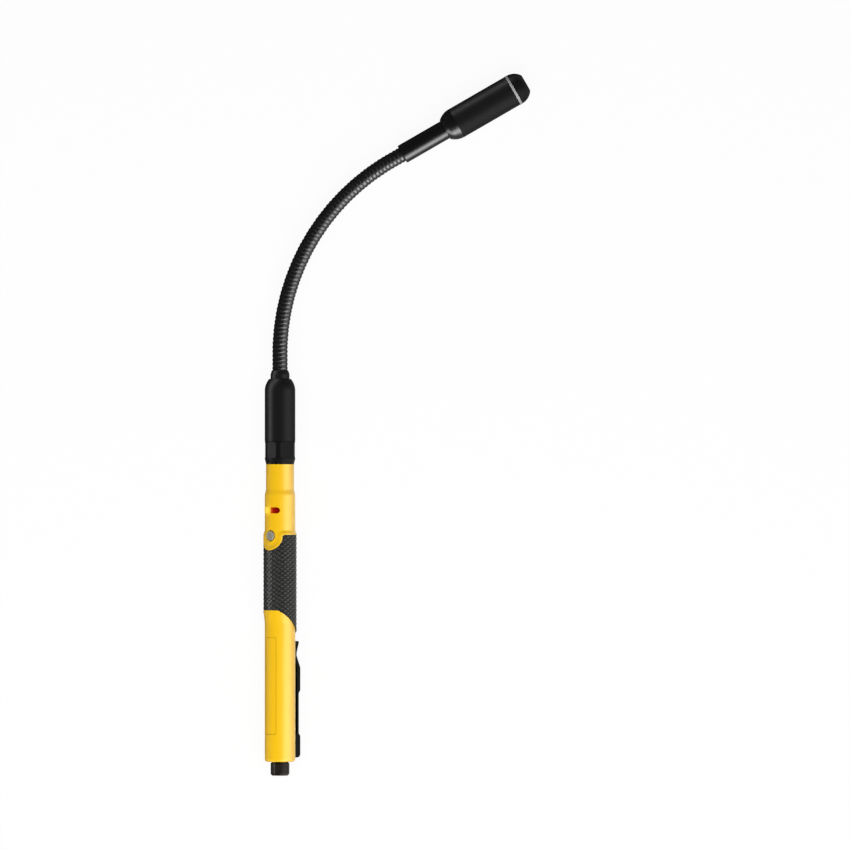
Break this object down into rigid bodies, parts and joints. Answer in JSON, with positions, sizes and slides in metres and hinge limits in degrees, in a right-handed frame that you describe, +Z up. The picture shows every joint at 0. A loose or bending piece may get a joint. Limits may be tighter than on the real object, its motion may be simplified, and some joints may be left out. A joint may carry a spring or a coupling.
{
  "type": "refrigerant leak detector",
  "caption": "Pen-type refrigerant leak detector: yellow barrel with a grip, push button and lamp, and a sensor head on a bendable ribbed neck.",
  "frame": {"origin": "Under the middle of the outline, on the surface that the tool lies on.", "axes": "+Y along the handle from tail to neck, +X the way the neck bends at rest, +Z up."},
  "size_m": [0.1923, 0.5054, 0.0275],
  "materials": {
    "yellow_plastic": "satin moulded plastic",
    "grip_rubber": "textured soft overmould",
    "black_plastic": "satin black plastic",
    "neck_metal": "black coated steel",
    "button_metal": "satin metal",
    "lamp_red": "clear red plastic",
    "lamp_clear": "clear moulded lamp",
    "pale_ring": "pale satin ring",
    "board_green": "coated circuit board",
    "seal_rubber": "black seal rubber",
    "bright_metal": "plated steel",
    "filter_metal": "woven steel mesh",
    "dark_plastic": "dark plastic",
    "pale_plastic": "plain moulded plastic",
    "cell_wrap": "plain wrapped cell"
  },
  "bodies": {
    "handle": {"barrel": "yellow_plastic", "grip_sleeve": "grip_rubber", "tact_switch": "dark_plastic", "lamp_window": "lamp_red", "lamp": "lamp_clear", "circuit_board": "board_green", "buzzer": "dark_plastic", "cell_rear": "cell_wrap", "cell_front": "cell_wrap", "cell_tube": "pale_plastic", "front_contact": "bright_metal", "coupling_ring": "black_plastic", "boot_seal": "seal_rubber", "neck_boot": "black_plastic", "root_nut": "bright_metal", "neck_collar": "neck_metal", "neck_root": "neck_metal"},
    "cap_carrier": {"cap_seal": "seal_rubber", "tail_spring": "bright_metal"},
    "tail_cap": {"tail_cap": "black_plastic"},
    "button": {"push_button": "button_metal", "switch_plunger": "dark_plastic"},
    "clip": {"pocket_clip": "black_plastic"},
    "link_01": {"neck_link_01": "neck_metal"},
    "link_02": {"neck_link_02": "neck_metal"},
    "link_03": {"neck_link_03": "neck_metal"},
    "link_04": {"neck_link_04": "neck_metal"},
    "link_05": {"neck_link_05": "neck_metal"},
    "link_06": {"neck_link_06": "neck_metal"},
    "link_07": {"neck_link_07": "neck_metal"},
    "link_08": {"neck_link_08": "neck_metal"},
    "link_09": {"neck_link_09": "neck_metal"},
    "link_10": {"neck_link_10": "neck_metal"},
    "link_11": {"neck_link_11": "neck_metal"},
    "link_12": {"neck_link_12": "neck_metal"},
    "link_13": {"neck_link_13": "neck_metal"},
    "link_14": {"neck_link_14": "neck_metal"},
    "link_15": {"neck_link_15": "neck_metal"},
    "link_16": {"neck_link_16": "neck_metal"},
    "link_17": {"neck_link_17": "neck_metal"},
    "link_18": {"neck_link_18": "neck_metal"},
    "link_19": {"neck_link_19": "neck_metal"},
    "link_20": {"neck_link_20": "neck_metal"},
    "link_21": {"neck_link_21": "neck_metal"},
    "link_22": {"neck_link_22": "neck_metal"},
    "link_23": {"neck_link_23": "neck_metal"},
    "link_24": {"neck_link_24": "neck_metal"},
    "link_25": {"neck_link_25": "neck_metal"},
    "link_26": {"neck_link_26": "neck_metal"},
    "link_27": {"neck_link_27": "neck_metal"},
    "head": {"neck_tip": "neck_metal", "head_stem": "black_plastic", "head_rear": "black_plastic", "head_housing": "black_plastic", "mark_ring": "pale_ring", "nose_cap": "black_plastic", "filter_disc": "filter_metal", "gas_sensor": "bright_metal", "sensor_board": "board_green"}
  },
  "joints": [
    {"name": "button_press", "type": "slide", "parent": "handle", "child": "button", "axis": [0.6691, 0, -0.7431], "range_m": [0, 0.0006], "stiffness_N_per_m": 400, "springref_m": -0.001},
    {"name": "clip_lift", "type": "hinge", "parent": "handle", "child": "clip", "pos_m": [-0.07746, -0.23646, 0.00801], "axis": [-0.7431, 0, -0.6691], "range_deg": [0, 3], "stiffness_Nm_per_rad": 0.6, "springref_deg": -2.86},
    {"name": "cap_travel", "type": "slide", "parent": "handle", "child": "cap_carrier", "axis": [0, -1, 0], "range_m": [0, 0.0075]},
    {"name": "cap_turn", "type": "hinge", "parent": "cap_carrier", "child": "tail_cap", "pos_m": [-0.08409, -0.24766, 0.01537], "axis": [0, -1, 0], "range_deg": [0, 2161]},
    {"name": "neck_sway_01", "type": "hinge", "parent": "handle", "child": "link_01", "pos_m": [-0.08409, 0.05114, 0.01537], "axis": [1, 0, 0], "range_deg": [-6.43, 6.43]},
    {"name": "neck_bend_01", "type": "hinge", "parent": "link_01", "child": "link_02", "pos_m": [-0.08409, 0.05714, 0.01537], "axis": [0, 0, -1], "range_deg": [-17.14, 8.57]},
    {"name": "neck_sway_02", "type": "hinge", "parent": "link_02", "child": "link_03", "pos_m": [-0.08364, 0.06312, 0.01537], "axis": [0.9972, -0.0747, 0], "range_deg": [-6.43, 6.43]},
    {"name": "neck_bend_02", "type": "hinge", "parent": "link_03", "child": "link_04", "pos_m": [-0.08319, 0.0691, 0.01537], "axis": [0, 0, -1], "range_deg": [-17.14, 8.57]},
    {"name": "neck_sway_03", "type": "hinge", "parent": "link_04", "child": "link_05", "pos_m": [-0.0823, 0.07504, 0.01537], "axis": [0.9888, -0.149, 0], "range_deg": [-6.43, 6.43]},
    {"name": "neck_bend_03", "type": "hinge", "parent": "link_05", "child": "link_06", "pos_m": [-0.0814, 0.08097, 0.01537], "axis": [0, 0, -1], "range_deg": [-17.14, 8.57]},
    {"name": "neck_sway_04", "type": "hinge", "parent": "link_06", "child": "link_07", "pos_m": [-0.08007, 0.08682, 0.01537], "axis": [0.9749, -0.2225, 0], "range_deg": [-6.43, 6.43]},
    {"name": "neck_bend_04", "type": "hinge", "parent": "link_07", "child": "link_08", "pos_m": [-0.07873, 0.09267, 0.01537], "axis": [0, 0, -1], "range_deg": [-17.14, 8.57]},
    {"name": "neck_sway_05", "type": "hinge", "parent": "link_08", "child": "link_09", "pos_m": [-0.07696, 0.0984, 0.01537], "axis": [0.9556, -0.2948, 0], "range_deg": [-6.43, 6.43]},
    {"name": "neck_bend_05", "type": "hinge", "parent": "link_09", "child": "link_10", "pos_m": [-0.07519, 0.10414, 0.01537], "axis": [0, 0, -1], "range_deg": [-17.14, 8.57]},
    {"name": "neck_sway_06", "type": "hinge", "parent": "link_10", "child": "link_11", "pos_m": [-0.073, 0.10972, 0.01537], "axis": [0.9309, -0.3653, 0], "range_deg": [-6.43, 6.43]},
    {"name": "neck_bend_06", "type": "hinge", "parent": "link_11", "child": "link_12", "pos_m": [-0.07081, 0.11531, 0.01537], "axis": [0, 0, -1], "range_deg": [-17.14, 8.57]},
    {"name": "neck_sway_07", "type": "hinge", "parent": "link_12", "child": "link_13", "pos_m": [-0.06821, 0.12071, 0.01537], "axis": [0.901, -0.4339, 0], "range_deg": [-6.43, 6.43]},
    {"name": "neck_bend_07", "type": "hinge", "parent": "link_13", "child": "link_14", "pos_m": [-0.0656, 0.12612, 0.01537], "axis": [0, 0, -1], "range_deg": [-17.14, 8.57]},
    {"name": "neck_sway_08", "type": "hinge", "parent": "link_14", "child": "link_15", "pos_m": [-0.0626, 0.13131, 0.01537], "axis": [0.866, -0.5, 0], "range_deg": [-6.43, 6.43]},
    {"name": "neck_bend_08", "type": "hinge", "parent": "link_15", "child": "link_16", "pos_m": [-0.0596, 0.13651, 0.01537], "axis": [0, 0, -1], "range_deg": [-17.14, 8.57]},
    {"name": "neck_sway_09", "type": "hinge", "parent": "link_16", "child": "link_17", "pos_m": [-0.05622, 0.14147, 0.01537], "axis": [0.8262, -0.5633, 0], "range_deg": [-6.43, 6.43]},
    {"name": "neck_bend_09", "type": "hinge", "parent": "link_17", "child": "link_18", "pos_m": [-0.05284, 0.14643, 0.01537], "axis": [0, 0, -1], "range_deg": [-17.14, 8.57]},
    {"name": "neck_sway_10", "type": "hinge", "parent": "link_18", "child": "link_19", "pos_m": [-0.0491, 0.15112, 0.01537], "axis": [0.7818, -0.6235, 0], "range_deg": [-6.43, 6.43]},
    {"name": "neck_bend_10", "type": "hinge", "parent": "link_19", "child": "link_20", "pos_m": [-0.04536, 0.15581, 0.01537], "axis": [0, 0, -1], "range_deg": [-17.14, 8.57]},
    {"name": "neck_sway_11", "type": "hinge", "parent": "link_20", "child": "link_21", "pos_m": [-0.04128, 0.16021, 0.01537], "axis": [0.7331, -0.6802, 0], "range_deg": [-6.43, 6.43]},
    {"name": "neck_bend_11", "type": "hinge", "parent": "link_21", "child": "link_22", "pos_m": [-0.0372, 0.1646, 0.01537], "axis": [0, 0, -1], "range_deg": [-17.14, 8.57]},
    {"name": "neck_sway_12", "type": "hinge", "parent": "link_22", "child": "link_23", "pos_m": [-0.0328, 0.16869, 0.01537], "axis": [0.6802, -0.7331, 0], "range_deg": [-6.43, 6.43]},
    {"name": "neck_bend_12", "type": "hinge", "parent": "link_23", "child": "link_24", "pos_m": [-0.0284, 0.17277, 0.01537], "axis": [0, 0, -1], "range_deg": [-17.14, 8.57]},
    {"name": "neck_sway_13", "type": "hinge", "parent": "link_24", "child": "link_25", "pos_m": [-0.02371, 0.17651, 0.01537], "axis": [0.6235, -0.7818, 0], "range_deg": [-6.43, 6.43]},
    {"name": "neck_bend_13", "type": "hinge", "parent": "link_25", "child": "link_26", "pos_m": [-0.01902, 0.18025, 0.01537], "axis": [0, 0, -1], "range_deg": [-17.14, 8.57]},
    {"name": "neck_sway_14", "type": "hinge", "parent": "link_26", "child": "link_27", "pos_m": [-0.01406, 0.18363, 0.01537], "axis": [0.5633, -0.8262, 0], "range_deg": [-6.43, 6.43]},
    {"name": "neck_bend_14", "type": "hinge", "parent": "link_27", "child": "head", "pos_m": [-0.00911, 0.18701, 0.01537], "axis": [0, 0, -1], "range_deg": [-17.14, 8.57]}
  ],
  "couplings": [
    {"joint": "cap_turn", "follows": "cap_travel", "rad_per_m": 5026.5}
  ]
}
